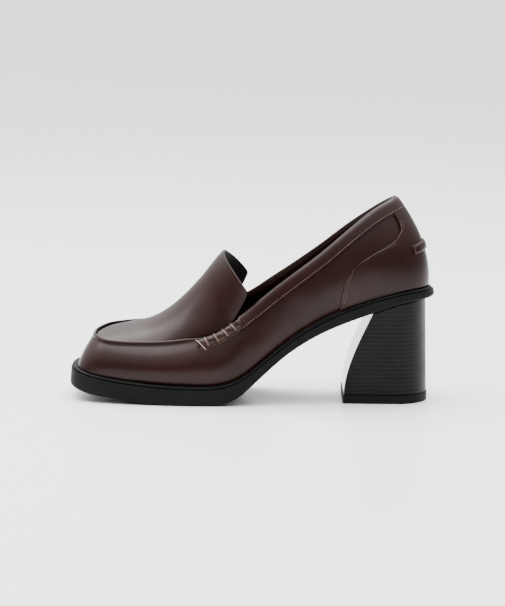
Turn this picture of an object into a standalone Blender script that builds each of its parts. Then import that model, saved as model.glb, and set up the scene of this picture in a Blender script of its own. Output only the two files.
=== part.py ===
"""Loafer pump: a square-toed leather loafer on a low platform and a block heel, the left shoe of a pair.

The toe points to -X, the inner side of the foot is +Y and the floor is z = 0. Lengths are in metres.
Every section comes from one outline of the sole, one line of its height and one table of the upper's walls.
"""

import math

import bmesh
import bpy
from mathutils import Vector

# Sizes that a shoemaker would set.
SOLE_LENGTH = 0.247
BALL_WIDTH = 0.0916
SEAT_HEIGHT = 0.078
BACK_HEIGHT = 0.0590
FOREPART_THICKNESS = 0.0130
INSTEP_HEIGHT = 0.0840
GAP = 0.0003

# Outsole and welt.
EDGE_FLARE = 0.0008
EDGE_ROUND = 0.0014
LEDGE_WIDTH = 0.0050
WELT_THICKNESS = 0.0018
WELT_SETBACK = 0.0022
WELT_LAP = 0.0040

# Upper, apron and the pieces laid on the upper.
WALL = 0.0018
RIDGE_HEIGHT = 0.0024
RIDGE_WIDTH = 0.0022
RIDGE_PROUD = 0.0004
COLLAR_LIP = 0.0009
TOE_SLOPE = 0.0105
HEEL_SLOPE = 0.0215
APRON_THICKNESS = 0.0016
APRON_SUNK = 0.0020
TONGUE_RISE = 0.0190
OVERLAY_THICKNESS = 0.0010
BAND_WIDTH = 0.0068
BAND_TUCK = 0.0035
TAB_WIDTH = 0.0066
TAB_THICKNESS = 0.0015
ROLL_WIDTH = 0.0058
ROLL_THICKNESS = 0.0024
ROLL_DROP = 0.0004
ROLL_ENDS = 0.35
ROLL_POWER = 0.6
ROLL_EDGES = 0.25
ROLL_CORNER = 0.22
ROLL_REAR_WIDTH = 0.40
TAB_EDGES = 0.45
INSOLE_THICKNESS = 0.0025
INSOLE_MARGIN = 0.0046

# Heel.
HEEL_BACK_SETBACK = 0.0062
HEEL_SIDE_SETBACK = 0.0019
HEEL_FOOT_WIDTH = 0.0500
HEEL_FOOT_LENGTH = 0.0570
HEEL_TOP_LENGTH = 0.0365
HEEL_BACK_FLARE = 0.0016
HEEL_CAP = 0.0210
TIP_THICKNESS = 0.0058
TIP_PROUD = 0.0005
TIP_CHAMFER = 0.0004
HEEL_BREAST_POWER = 1.75
HEEL_SEAT = 0.85

# How finely the pieces are divided.
TOE_STEPS = 8
BODY_STEPS = 22
HEEL_STEPS = 9
STEPS = TOE_STEPS + BODY_STEPS + HEEL_STEPS
ARCH_STEPS = 18
HEEL_ROWS = 8
HEEL_SIDE_STEPS = 3
HEEL_CAP_STEPS = 9
ROLL_ROWS = 14
ROLL_COLUMNS = 6
APRON_TOE_STEPS = (1.0, 2.0, 3.0, 4.5, 6.0, 7.0, 8.0)

# How far to each side a direction along or up the wall is measured, in turns and in shares of its height.
REACH = 0.25
RISE = 0.02
WALL_PARTS = 6

# Share of the sole's length from the toe, then the sole's edge on the outer and the inner side in shares
# of the ball width, the welt's top in shares of the seat height, and sole and welt together in shares of
# the forepart's thickness.
SOLE_TABLE = [
    # along, outer, inner, top, thickness
    (0.00, 0.311, 0.393, 0.300, 1.050),
    (0.05, 0.344, 0.420, 0.250, 1.050),
    (0.10, 0.384, 0.458, 0.220, 1.015),
    (0.20, 0.438, 0.515, 0.184, 1.005),
    (0.30, 0.462, 0.532, 0.165, 1.010),
    (0.38, 0.464, 0.502, 0.163, 1.010),
    (0.43, 0.458, 0.468, 0.180, 1.020),
    (0.47, 0.443, 0.440, 0.232, 0.900),
    (0.51, 0.422, 0.408, 0.324, 0.785),
    (0.56, 0.395, 0.376, 0.458, 0.690),
    (0.62, 0.365, 0.346, 0.600, 0.650),
    (0.70, 0.342, 0.326, 0.747, 0.670),
    (0.80, 0.338, 0.324, 0.882, 0.710),
    (0.90, 0.338, 0.328, 0.972, 0.600),
    (1.00, 0.325, 0.315, 1.003, 0.500),
]
OUTLINE = {-1: 1, 1: 2}
TOP, THICKNESS = 3, 4

# Share of the way from the toe to the heel, then the upper's top edge on each side: how far out in shares
# of the ball width, and how high above the welt in shares of the back height. The bellies say how far the
# wall is pulled out from the straight line between its edges, low down and high up, in shares of the ball
# width. Both sides meet at the toe and at the heel, so their heights agree there.
WALL_TABLE = [
    # along, outer, inner, outer_high, inner_high, outer_low, outer_upper, inner_low, inner_upper
    (0.00, 0.196, 0.272, 0.330, 0.330, 0.014, 0.014, 0.014, 0.014),
    (0.05, 0.247, 0.318, 0.346, 0.426, 0.034, 0.040, 0.034, 0.040),
    (0.15, 0.291, 0.362, 0.392, 0.510, 0.058, 0.066, 0.058, 0.068),
    (0.25, 0.316, 0.375, 0.442, 0.558, 0.068, 0.078, 0.074, 0.086),
    (0.35, 0.328, 0.370, 0.512, 0.616, 0.072, 0.078, 0.080, 0.090),
    (0.41, 0.330, 0.362, 0.572, 0.680, 0.072, 0.070, 0.076, 0.078),
    (0.46, 0.330, 0.354, 0.626, 0.734, 0.070, 0.058, 0.066, 0.058),
    (0.55, 0.334, 0.342, 0.583, 0.625, 0.066, 0.038, 0.052, 0.034),
    (0.65, 0.324, 0.322, 0.569, 0.572, 0.064, 0.034, 0.050, 0.034),
    (0.75, 0.294, 0.292, 0.623, 0.616, 0.070, 0.044, 0.060, 0.044),
    (0.85, 0.262, 0.258, 0.772, 0.745, 0.084, 0.066, 0.078, 0.066),
    (0.92, 0.240, 0.238, 0.890, 0.850, 0.092, 0.078, 0.090, 0.078),
    (1.00, 0.222, 0.222, 1.000, 1.000, 0.094, 0.082, 0.094, 0.082),
]
EDGE_OUT = {-1: 1, 1: 2}
EDGE_HIGH = {-1: 3, 1: 4}
LOW_BELLY = {-1: 5, 1: 7}
HIGH_BELLY = {-1: 6, 1: 8}

# Rounded ends of the outlines: how long each end is and how square.
SOLE_TOE_CAP = 0.024
SOLE_TOE_POWER = 3.6
SOLE_HEEL_CAP = 0.037
SOLE_HEEL_POWER = 2.15
TOP_TOE_CAP = 0.017
TOP_TOE_POWER = 3.2
TOP_HEEL_CAP = 0.040
TOP_HEEL_POWER = 2.1

# Sections of small parts, each across and up in shares of its own width and height: the upper's rim, the
# rounded edges of the outsole, the welt and the insole, and the two folds of the collar band.
RIM_SECTION = ((0.0, 0.45), (0.22, 1.0), (0.78, 1.0), (1.0, 0.45))
SOLE_EDGE_ROUND = 0.3
WELT_CREST = 0.35
WELT_ROUND = 0.4
INSOLE_ROUND = 0.3
BAND_FOLDS = (0.15, 0.85)

# How quickly the raised seam fades into the plain rim under the roll, and how much is left at its start.
SEAM_FADE = 4.0
SEAM_AT_ROLL = 0.5

# Heights on the wall where it has a row of points, in shares of the way up.
OUTER_ROWS = (0.0, 0.12, 0.26, 0.40, 0.54, 0.68, 0.80, 0.90, 1.0)
INNER_ROWS = (0.94, 0.72, 0.50, 0.30, 0.14, 0.0)

# Shares of the way from toe to heel where the seam's roll starts and ends, the throat opens and the
# collar band starts.
ROLL_START = 0.345
ROLL_END = 0.476
THROAT = 0.462
BAND_START = 0.482

# The instep's reach over the apron in shares of the top edge's length, and the line of the instep, in
# shares of that reach behind the toe's seam and of the instep's height above the lowest welt.
INSTEP_SHARE = 0.506
INSTEP_LINE = [
    # along, height
    (0.000, 0.346),
    (0.050, 0.367),
    (0.130, 0.393),
    (0.230, 0.421),
    (0.330, 0.449),
    (0.375, 0.468),
    (0.450, 0.523),
    (0.530, 0.599),
    (0.610, 0.695),
    (0.690, 0.805),
    (0.770, 0.926),
    (0.840, 1.026),
]

# Stations along the apron: share of the way to the throat, how far the middle leans towards the toe in
# shares of the instep's reach, and how round the arch is.
APRON_TABLE = [
    # along, lean, roundness
    (0.00, 0.000, 1.00),
    (0.30, 0.000, 1.05),
    (0.50, 0.018, 1.15),
    (0.70, 0.070, 1.35),
    (0.85, 0.130, 1.55),
    (1.00, 0.196, 1.70),
]
LEAN, ROUNDNESS = 1, 2

# The tongue past the throat, in shares of its rise: how far each side edge goes back and up from the
# throat and spreads out, and how far the middle goes back and up.
TONGUE_TABLE = [
    # share, edge_back, edge_up, spread, middle_back, middle_up
    (0.25, 0.15, 0.29, 0.03, 0.18, 0.24),
    (0.50, 0.31, 0.56, 0.06, 0.36, 0.47),
    (0.75, 0.45, 0.84, 0.09, 0.54, 0.69),
    (0.92, 0.52, 1.02, 0.12, 0.66, 0.82),
    (1.00, 0.52, 1.10, 0.12, 0.71, 0.86),
]

# The counter's front edge from the welt up to the band, then where the same row ends on the heel's back
# line: shares of the way from toe to heel, and of the way from the welt up to the band.
COUNTER_TABLE = [
    # along, up, back_up
    (0.698, 0.020, 0.02),
    (0.711, 0.170, 0.10),
    (0.727, 0.330, 0.19),
    (0.747, 0.485, 0.28),
    (0.767, 0.594, 0.36),
    (0.789, 0.660, 0.43),
    (0.814, 0.690, 0.49),
    (0.847, 0.696, 0.54),
    (0.878, 0.688, 0.58),
    (0.907, 0.684, 0.62),
    (0.931, 0.700, 0.66),
    (0.951, 0.745, 0.72),
    (0.961, 0.820, 0.80),
    (0.965, 0.910, 0.90),
    (0.964, 1.000, 1.00),
]
COUNTER_COLUMNS = 14
TAB_ROWS = 4
TAB_COLUMNS = 12

# The heel tab: share of the way to the heel where its ends lie, and how high its middle and its ends lie
# in shares of the way up the wall.
TAB_END = 0.966
TAB_MIDDLE_UP = 0.470
TAB_END_UP = 0.450


def value_at(table, along, column):
    """Read a column of a table between its rows, along a smooth curve."""
    if along <= table[0][0]:
        return table[0][column]
    if along >= table[-1][0]:
        return table[-1][column]
    index = 0
    while along > table[index + 1][0]:
        index += 1
    low, high = table[index], table[index + 1]
    span = high[0] - low[0]
    t = (along - low[0]) / span
    start = slope_at(table, index, column) * span
    end = slope_at(table, index + 1, column) * span
    bend = (t - 1) * t * ((t - 1) * start + t * end)
    ease = t * t * (3 - 2 * t)
    return low[column] * (1 - ease) + high[column] * ease + bend


def slope_at(table, index, column):
    """Slope of a column at a row of the table."""
    before = table[max(index - 1, 0)]
    after = table[min(index + 1, len(table) - 1)]
    return (after[column] - before[column]) / (after[0] - before[0])


def side_and_step(turn):
    """Side of the shoe and step along it: a turn runs from the toe down the outer side and back."""
    turn = turn % (2 * STEPS)
    if turn <= STEPS:
        return -1, turn
    return 1, 2 * STEPS - turn


def end_station(angle, cap, power):
    """Distance from the tip of a rounded end, and share of the full width there."""
    return cap * (1 - math.cos(angle) ** (2 / power)), math.sin(angle) ** (2 / power)


def station(step, length, toe, heel):
    """Distance from the front tip and share of the full width at a step along one side."""
    if step < TOE_STEPS:
        return end_station(math.pi / 2 * step / TOE_STEPS, *toe)
    if step > TOE_STEPS + BODY_STEPS:
        distance, share = end_station(math.pi / 2 * (STEPS - step) / HEEL_STEPS, *heel)
        return length - distance, share
    share = (step - TOE_STEPS) / BODY_STEPS
    return toe[0] + share * (length - toe[0] - heel[0]), 1.0


def sole_top(x):
    """Height of the welt's top, which the upper and the insole rest on."""
    return value_at(SOLE_TABLE, x / SOLE_LENGTH, TOP) * SEAT_HEIGHT


def sole_bottom(x):
    """Height of the outsole's underside, flat on the floor at the ball."""
    thickness = value_at(SOLE_TABLE, x / SOLE_LENGTH, THICKNESS) * FOREPART_THICKNESS
    return max(0.0, sole_top(x) - thickness)


def sole_point(turn, inset):
    """Point of the sole's outline, drawn in by an inset, at the floor's height."""
    side, step = side_and_step(turn)
    toe = (SOLE_TOE_CAP - inset, SOLE_TOE_POWER)
    heel = (SOLE_HEEL_CAP - inset, SOLE_HEEL_POWER)
    distance, share = station(step, SOLE_LENGTH - 2 * inset, toe, heel)
    x = inset + distance
    half = value_at(SOLE_TABLE, x / SOLE_LENGTH, OUTLINE[side]) * BALL_WIDTH - inset
    return Vector((x, side * half * share, 0.0))


def sole_ring(inset, height):
    """Closed ring of the sole's outline drawn in by an inset, with its height read at each point."""
    ring = []
    for turn in range(2 * STEPS):
        point = sole_point(turn, inset)
        point.z = height(point.x)
        ring.append(point)
    return ring


EDGE_LENGTH = SOLE_LENGTH - 2 * LEDGE_WIDTH - TOE_SLOPE - HEEL_SLOPE
EDGE_FRONT = LEDGE_WIDTH + TOE_SLOPE
INSTEP_REACH = INSTEP_SHARE * EDGE_LENGTH
EDGE_TOE = (TOP_TOE_CAP, TOP_TOE_POWER)
EDGE_HEEL = (TOP_HEEL_CAP, TOP_HEEL_POWER)


def edge_share(turn):
    """Share of the way from toe to heel at a turn around the top edge."""
    distance, _ = station(side_and_step(turn)[1], EDGE_LENGTH, EDGE_TOE, EDGE_HEEL)
    return distance / EDGE_LENGTH


def step_at(share):
    """Step along one side whose share of the way from toe to heel is the one given."""
    low, high = 0.0, float(STEPS)
    for _ in range(40):
        middle = (low + high) / 2
        if edge_share(middle) < share:
            low = middle
        else:
            high = middle
    return (low + high) / 2


def feather(turn):
    """Foot of the upper's wall on the welt."""
    point = sole_point(turn, LEDGE_WIDTH)
    point.z = sole_top(point.x) + GAP
    return point


def top_edge(turn):
    """Top edge of the wall: the apron's seam in front of the throat, the collar behind it."""
    side, step = side_and_step(turn)
    distance, width = station(step, EDGE_LENGTH, EDGE_TOE, EDGE_HEEL)
    share = distance / EDGE_LENGTH
    half = value_at(WALL_TABLE, share, EDGE_OUT[side]) * BALL_WIDTH
    high = value_at(WALL_TABLE, share, EDGE_HIGH[side]) * BACK_HEIGHT
    foot = sole_top(LEDGE_WIDTH + share * (SOLE_LENGTH - 2 * LEDGE_WIDTH)) + GAP
    return Vector((EDGE_FRONT + distance, side * half * width, foot + high))


def outward(turn):
    """Level direction that points away from the shoe, square to the top edge and the feather."""
    along = Vector((0.0, 0.0, 0.0))
    for line in (top_edge, feather):
        chord = line(turn + REACH) - line(turn - REACH)
        chord.z = 0.0
        along += chord.normalized()
    return Vector((along.y, -along.x, 0.0)).normalized()


def wall_curve(turn, up):
    """Point on the wall's outer face: a curve from the feather to the top edge, pulled out twice."""
    side = side_and_step(turn)[0]
    share = edge_share(turn)
    foot, edge, out = feather(turn), top_edge(turn), outward(turn)
    low = foot.lerp(edge, 1 / 3) + out * value_at(WALL_TABLE, share, LOW_BELLY[side]) * BALL_WIDTH
    high = foot.lerp(edge, 2 / 3) + out * value_at(WALL_TABLE, share, HIGH_BELLY[side]) * BALL_WIDTH
    rest = 1 - up
    return foot * rest**3 + low * 3 * rest * rest * up + high * 3 * rest * up * up + edge * up**3


def wall_point(turn, up, out):
    """Point a set distance out from the wall's outer face, square to it; inwards where out is negative."""
    along = wall_curve(turn + REACH, up) - wall_curve(turn - REACH, up)
    climb = wall_curve(turn, min(up + RISE, 1.0)) - wall_curve(turn, max(up - RISE, 0.0))
    return wall_curve(turn, up) + along.cross(climb).normalized() * out


def wall_height(turn):
    """Length of the wall's section from the feather to the top edge."""
    points = [wall_curve(turn, part / WALL_PARTS) for part in range(WALL_PARTS + 1)]
    return sum((after - before).length for before, after in zip(points, points[1:]))


def seam_share(turn):
    """How much of the raised seam there is: all in front of the roll, none behind it."""
    before_roll = (ROLL_START - edge_share(turn)) / (THROAT - ROLL_START)
    return min(1.0, max(0.0, before_roll * SEAM_FADE + SEAM_AT_ROLL))


def lip_height(turn):
    """How far the wall's rim stands above its top edge."""
    return COLLAR_LIP + (RIDGE_HEIGHT - COLLAR_LIP) * seam_share(turn)


def rim_frame(turn):
    """Directions out of and up from the wall's top edge; the raised seam stands upright."""
    along = top_edge(turn + REACH) - top_edge(turn - REACH)
    climb = (wall_curve(turn, 1.0) - wall_curve(turn, 1.0 - RISE)).normalized()
    upright = climb.lerp(Vector((0.0, 0.0, 1.0)), seam_share(turn)).normalized()
    return along.cross(upright).normalized(), upright


def rim_points(turn):
    """The rim on top of the wall, from its outer to its inner side."""
    seam = seam_share(turn)
    width = WALL + (RIDGE_WIDTH - WALL) * seam
    edge = top_edge(turn)
    out, up = rim_frame(turn)
    points = [edge - out * width * inward + up * lip_height(turn) * rise for inward, rise in RIM_SECTION]
    points[0] += out * RIDGE_PROUD * seam
    return points


def new_material(name, colour, roughness, coat):
    """Plain material for one kind of piece."""
    material = bpy.data.materials.new(name)
    material.use_nodes = True
    shader = material.node_tree.nodes["Principled BSDF"]
    shader.inputs["Base Color"].default_value = (*colour, 1.0)
    shader.inputs["Roughness"].default_value = roughness
    shader.inputs["Coat Weight"].default_value = coat
    return material


def new_piece(name, points, faces, material, root):
    """Closed body from points and faces, shaded smooth up to its real edges."""
    mesh = bpy.data.meshes.new(name)
    solid = bmesh.new()
    corners = [solid.verts.new(point) for point in points]
    for face in faces:
        solid.faces.new([corners[index] for index in face])
    bmesh.ops.remove_doubles(solid, verts=solid.verts, dist=1e-6)
    bmesh.ops.dissolve_degenerate(solid, edges=solid.edges, dist=1e-6)
    bmesh.ops.recalc_face_normals(solid, faces=solid.faces)
    solid.to_mesh(mesh)
    solid.free()
    mesh.materials.append(material)
    mesh.shade_smooth()
    mesh.set_sharp_from_angle(angle=math.radians(40))
    piece = bpy.data.objects.new(name, mesh)
    piece.parent = root
    bpy.context.scene.collection.objects.link(piece)
    return piece


def band_faces(rows, count, closed_rows, closed_points):
    """Four-sided faces between rows of points, each row with the same count."""
    faces = []
    for row in range(rows if closed_rows else rows - 1):
        start, after = row * count, (row + 1) % rows * count
        for point in range(count if closed_points else count - 1):
            beside = (point + 1) % count
            faces.append((start + point, start + beside, after + beside, after + point))
    return faces


def rung_faces(start, count):
    """Faces that close a ring across the shoe, between points that lie opposite each other."""
    faces = [(start, start + 1, start + count - 1)]
    for step in range(1, count // 2 - 1):
        faces.append((start + step, start + step + 1, start + count - step - 1, start + count - step))
    middle = count // 2
    faces.append((start + middle - 1, start + middle, start + middle + 1))
    return faces


def stacked_rings(name, rings, material, root):
    """Solid from rings that lie one above the other, closed across the first and the last."""
    count = len(rings[0])
    points = [point for ring in rings for point in ring]
    faces = band_faces(len(rings), count, False, True)
    faces += rung_faces(0, count) + rung_faces((len(rings) - 1) * count, count)
    return new_piece(name, points, faces, material, root)


def hoop(name, rings, material, root):
    """Solid like a hoop: its rings go around its own section and end where they start."""
    points = [point for ring in rings for point in ring]
    return new_piece(name, points, band_faces(len(rings), len(rings[0]), True, True), material, root)


def bar(name, sections, material, root):
    """Solid from closed sections one after the other, with a flat face on each end."""
    count = len(sections[0])
    points = [point for section in sections for point in section]
    faces = band_faces(len(sections), count, False, True)
    faces.append(tuple(range(count)))
    faces.append(tuple(range((len(sections) - 1) * count, len(sections) * count)))
    return new_piece(name, points, faces, material, root)


def thickened(grid, thickness):
    """Second grid of points that lies under the first, square to it."""
    rows, columns = len(grid), len(grid[0])
    under = []
    for row in range(rows):
        line = []
        for column in range(columns):
            along = grid[min(row + 1, rows - 1)][column] - grid[max(row - 1, 0)][column]
            across = grid[row][min(column + 1, columns - 1)] - grid[row][max(column - 1, 0)]
            line.append(grid[row][column] - along.cross(across).normalized() * thickness)
        under.append(line)
    return under


def sheet(name, outer, inner, material, root):
    """Bent plate between two grids of points."""
    rows, columns = len(outer), len(outer[0])
    size = rows * columns
    points = [point for grid in (outer, inner) for line in grid for point in line]
    faces = band_faces(rows, columns, False, False)
    faces += [tuple(index + size for index in reversed(face)) for face in faces]
    border = list(range(columns))
    border += [row * columns + columns - 1 for row in range(1, rows)]
    border += [(rows - 1) * columns + column for column in range(columns - 2, -1, -1)]
    border += [row * columns for row in range(rows - 2, 0, -1)]
    for index, corner in enumerate(border):
        beside = border[(index + 1) % len(border)]
        faces.append((corner, beside, beside + size, corner + size))
    return new_piece(name, points, faces, material, root)


def make_outsole(material, root):
    """Outsole with a rounded lower edge, a ledge for the welt and a raised bed inside the welt."""
    bed = LEDGE_WIDTH + WELT_LAP + GAP
    ledge_drop = WELT_THICKNESS + GAP
    edge = EDGE_ROUND * SOLE_EDGE_ROUND
    rings = [
        sole_ring(EDGE_ROUND, sole_bottom),
        sole_ring(edge, lambda x: sole_bottom(x) + edge),
        sole_ring(0.0, lambda x: sole_bottom(x) + EDGE_ROUND),
        sole_ring(EDGE_FLARE, lambda x: sole_top(x) - ledge_drop),
        sole_ring(bed, lambda x: sole_top(x) - ledge_drop),
        sole_ring(bed, sole_top),
    ]
    return stacked_rings("outsole", rings, material, root)


def make_welt(material, root):
    """Strip around the outsole that the upper stands on."""
    under = lambda x: sole_top(x) - WELT_THICKNESS
    crest = lambda x: sole_top(x) - WELT_THICKNESS * WELT_CREST
    rings = [
        sole_ring(WELT_SETBACK, under),
        sole_ring(WELT_SETBACK, crest),
        sole_ring(WELT_SETBACK + WELT_THICKNESS * WELT_ROUND, sole_top),
        sole_ring(LEDGE_WIDTH + WELT_LAP, sole_top),
        sole_ring(LEDGE_WIDTH + WELT_LAP, under),
    ]
    return hoop("welt", rings, material, root)


def make_insole(material, root):
    """Insole on the outsole's bed, inside the upper."""
    inset = LEDGE_WIDTH + INSOLE_MARGIN
    edge = INSOLE_THICKNESS * INSOLE_ROUND
    rings = [
        sole_ring(inset, lambda x: sole_top(x) + GAP),
        sole_ring(inset, lambda x: sole_top(x) + GAP + INSOLE_THICKNESS - edge),
        sole_ring(inset + edge, lambda x: sole_top(x) + GAP + INSOLE_THICKNESS),
    ]
    return stacked_rings("insole", rings, material, root)


def make_upper(material, root):
    """Vamp and quarters as one hollow wall with a rim, open at the collar, the apron and the sole."""
    turns = range(2 * STEPS)
    rims = [rim_points(turn) for turn in turns]
    rings = [[wall_point(turn, up, 0.0) for turn in turns] for up in OUTER_ROWS]
    rings += [[rim[index] for rim in rims] for index in range(len(rims[0]))]
    rings += [[wall_point(turn, up, -WALL) for turn in turns] for up in INNER_ROWS]
    for point in rings[-1]:
        point.z = sole_top(point.x) + GAP
    return hoop("upper", rings, material, root)


def apron_edge(turn):
    """Edge of the apron, just inside the raised seam."""
    edge = top_edge(turn) - outward(turn) * (RIDGE_WIDTH + GAP)
    edge.z += RIDGE_HEIGHT - APRON_SUNK
    return edge


def instep_height(x):
    """Height of the apron's middle line."""
    lowest = min(row[TOP] for row in SOLE_TABLE) * SEAT_HEIGHT
    return lowest + value_at(INSTEP_LINE, (x - EDGE_FRONT) / INSTEP_REACH, 1) * INSTEP_HEIGHT


def arch(outer, middle, inner, roundness):
    """Row of points over the foot, from the outer edge over the middle to the inner edge."""
    rise = middle - (outer + inner) / 2
    row = []
    for part in range(ARCH_STEPS + 1):
        angle = math.pi * part / ARCH_STEPS
        across = (1 - math.cos(angle)) / 2
        row.append(outer.lerp(inner, across) + rise * math.sin(angle) ** (2 / roundness))
    return row


def make_apron(material, root):
    """Apron and tongue in one bent plate: flat over the toes, a half tube behind the throat."""
    last = step_at(THROAT)
    body = math.ceil(last) - TOE_STEPS
    steps = list(APRON_TOE_STEPS)
    steps += [TOE_STEPS + (last - TOE_STEPS) * (part + 1) / body for part in range(body)]
    grid = []
    for step in steps:
        outer, inner = apron_edge(step), apron_edge(-step)
        along = edge_share(step) / THROAT
        middle = (outer + inner) / 2
        middle.x -= value_at(APRON_TABLE, along, LEAN) * INSTEP_REACH
        middle.z = instep_height(middle.x)
        roundness = value_at(APRON_TABLE, along, ROUNDNESS)
        grid.append(arch(outer, middle, inner, roundness))
    for _, edge_back, edge_up, spread, middle_back, middle_up in TONGUE_TABLE:
        lift = Vector((edge_back, -spread, edge_up)) * TONGUE_RISE
        far_lift = Vector((edge_back, spread, edge_up)) * TONGUE_RISE
        top = middle + Vector((middle_back, 0.0, middle_up)) * TONGUE_RISE
        grid.append(arch(outer + lift, top, inner + far_lift, roundness))
    return sheet("apron_tongue", grid, thickened(grid, APRON_THICKNESS), material, root)


def band_foot(turn):
    """Share of the way up the wall where the collar band ends."""
    return 1 - BAND_WIDTH / wall_height(turn)


def make_collar_band(material, root):
    """Binding folded over the collar, from the throat around the heel to the throat."""
    start = step_at(BAND_START)
    first = math.ceil(start + REACH)
    turns = [start] + list(range(first, 2 * STEPS - first + 1)) + [2 * STEPS - start]
    near, far = GAP, GAP + OVERLAY_THICKNESS
    sections = []
    for turn in turns:
        foot = band_foot(turn)
        tuck = 1 - BAND_TUCK / wall_height(turn)
        edge = top_edge(turn)
        out, up = rim_frame(turn)
        half = (foot + 1) / 2
        outside = [wall_point(turn, share, far) for share in (foot, half, 1.0)]
        over = [edge + up * (COLLAR_LIP + far) - out * WALL * share for share in BAND_FOLDS]
        inside = [wall_point(turn, share, -WALL - far) for share in (1.0, tuck)]
        back = [wall_point(turn, share, -WALL - near) for share in (tuck, 1.0)]
        under = [edge + up * (COLLAR_LIP + near) - out * WALL * share for share in reversed(BAND_FOLDS)]
        front = [wall_point(turn, share, near) for share in (1.0, half, foot)]
        sections.append(outside + over + inside + back + under + front)
    return bar("collar_band", sections, material, root)


def counter_grid(out):
    """Points of the counter at a distance from the wall, from its outer front edge to its inner one."""
    away = 2 * GAP / wall_height(STEPS)
    grid = []
    for along, up, back_up in COUNTER_TABLE:
        front = step_at(along)
        line = []
        for column in range(2 * COUNTER_COLUMNS + 1):
            aside = column / COUNTER_COLUMNS - 1
            turn = STEPS + (STEPS - front) * aside
            height = back_up + (up - back_up) * abs(aside)
            line.append(wall_point(turn, height * (band_foot(turn) - away), out))
        grid.append(line)
    return grid


def make_counter(material, root):
    """Counter laid over the heel, cut to a scooped edge on both sides and up to the band."""
    inner, outer = counter_grid(GAP), counter_grid(GAP + OVERLAY_THICKNESS)
    return sheet("counter", outer, inner, material, root)


def tab_grid(thickness):
    """Points of the heel tab at a height over the counter, swollen along its middle."""
    end = step_at(TAB_END)
    grid = []
    for row in range(TAB_ROWS + 1):
        share = row / TAB_ROWS * 2 - 1
        line = []
        for column in range(TAB_COLUMNS + 1):
            aside = column / TAB_COLUMNS * 2 - 1
            turn = STEPS + (STEPS - end) * aside
            middle = TAB_MIDDLE_UP + (TAB_END_UP - TAB_MIDDLE_UP) * aside * aside
            height = middle + share * TAB_WIDTH / 2 / wall_height(turn)
            swell = 1 - TAB_EDGES * share * share
            line.append(wall_point(turn, height, OVERLAY_THICKNESS + 2 * GAP + thickness * swell))
        grid.append(line)
    return grid


def make_tab(material, root):
    """Short folded strip across the back of the heel, over the counter."""
    return sheet("heel_tab", tab_grid(TAB_THICKNESS), tab_grid(0.0), material, root)


def roll_grid(side, thickness):
    """Points of the seam's roll over the wall's outer face, just below the rim.

    It starts as wide as it is in the middle, and its lower edge curls up to the rim at its rear end.
    """
    first, last = step_at(ROLL_START), step_at(ROLL_END)
    grid = []
    for row in range(ROLL_ROWS + 1):
        along = row / ROLL_ROWS
        fullness = ROLL_ENDS + (1 - ROLL_ENDS) * math.sin(math.pi * along) ** ROLL_POWER
        corner = max(0.0, (along - 1 + ROLL_CORNER) / ROLL_CORNER)
        width = ROLL_WIDTH * (ROLL_REAR_WIDTH + (1 - ROLL_REAR_WIDTH) * math.sqrt(1 - corner * corner))
        step = first + (last - first) * along
        turn = step if side < 0 else 2 * STEPS - step
        line = []
        for column in range(ROLL_COLUMNS + 1):
            across = column / ROLL_COLUMNS
            down = (ROLL_DROP + width * across) / wall_height(turn)
            swell = ROLL_EDGES + (1 - ROLL_EDGES) * math.sqrt(1 - (2 * across - 1) ** 2)
            line.append(wall_point(turn, 1 - down, GAP + thickness * fullness * swell))
        grid.append(line)
    return grid


def make_roll(name, side, material, root):
    """Padded roll on the end of the seam, beside the throat."""
    return sheet(name, roll_grid(side, ROLL_THICKNESS), roll_grid(side, 0.0), material, root)


def heel_section(up, proud):
    """Plan of the heel at a share of its height: straight at the front, round at the back."""
    outer, inner = (value_at(SOLE_TABLE, HEEL_SEAT, OUTLINE[side]) for side in (-1, 1))
    top_width = (outer + inner) * BALL_WIDTH - 2 * HEEL_SIDE_SETBACK
    middle = (inner - outer) / 2 * BALL_WIDTH
    back = SOLE_LENGTH - HEEL_BACK_SETBACK + HEEL_BACK_FLARE * (1 - up) + proud
    waist = up**HEEL_BREAST_POWER
    length = HEEL_FOOT_LENGTH + (HEEL_TOP_LENGTH - HEEL_FOOT_LENGTH) * waist + 2 * proud
    half = (HEEL_FOOT_WIDTH + (top_width - HEEL_FOOT_WIDTH) * up) / 2 + proud
    straight = length - HEEL_CAP
    halves = []
    for part in range(HEEL_SIDE_STEPS):
        halves.append((back - length + straight * part / HEEL_SIDE_STEPS, half))
    for part in range(HEEL_CAP_STEPS + 1):
        angle = math.pi / 2 * part / HEEL_CAP_STEPS
        halves.append((back - HEEL_CAP * (1 - math.sin(angle)), half * math.cos(angle)))
    ring = [Vector((x, middle - width, 0.0)) for x, width in halves]
    return ring + [Vector((x, middle + width, 0.0)) for x, width in reversed(halves[:-1])]


def heel_faces(start, count):
    """Faces that close a heel section across the shoe."""
    faces = []
    for step in range(count // 2 - 1):
        faces.append((start + step, start + step + 1, start + count - step - 2, start + count - step - 1))
    middle = count // 2
    faces.append((start + middle - 1, start + middle, start + middle + 1))
    return faces


def stacked_sections(name, sections, material, root):
    """Solid from heel sections that lie one above the other."""
    count = len(sections[0])
    points = [point for section in sections for point in section]
    faces = band_faces(len(sections), count, False, True)
    faces += heel_faces(0, count) + heel_faces((len(sections) - 1) * count, count)
    return new_piece(name, points, faces, material, root)


def make_heel(material, root):
    """Block heel that fills the room between its tip and the outsole."""
    sections = []
    foot = TIP_THICKNESS + GAP
    for row in range(HEEL_ROWS + 1):
        up = row / HEEL_ROWS
        section = heel_section(up, 0.0)
        for point in section:
            point.z = foot + (sole_bottom(point.x) - GAP - foot) * up
        sections.append(section)
    return stacked_sections("heel", sections, material, root)


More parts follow.
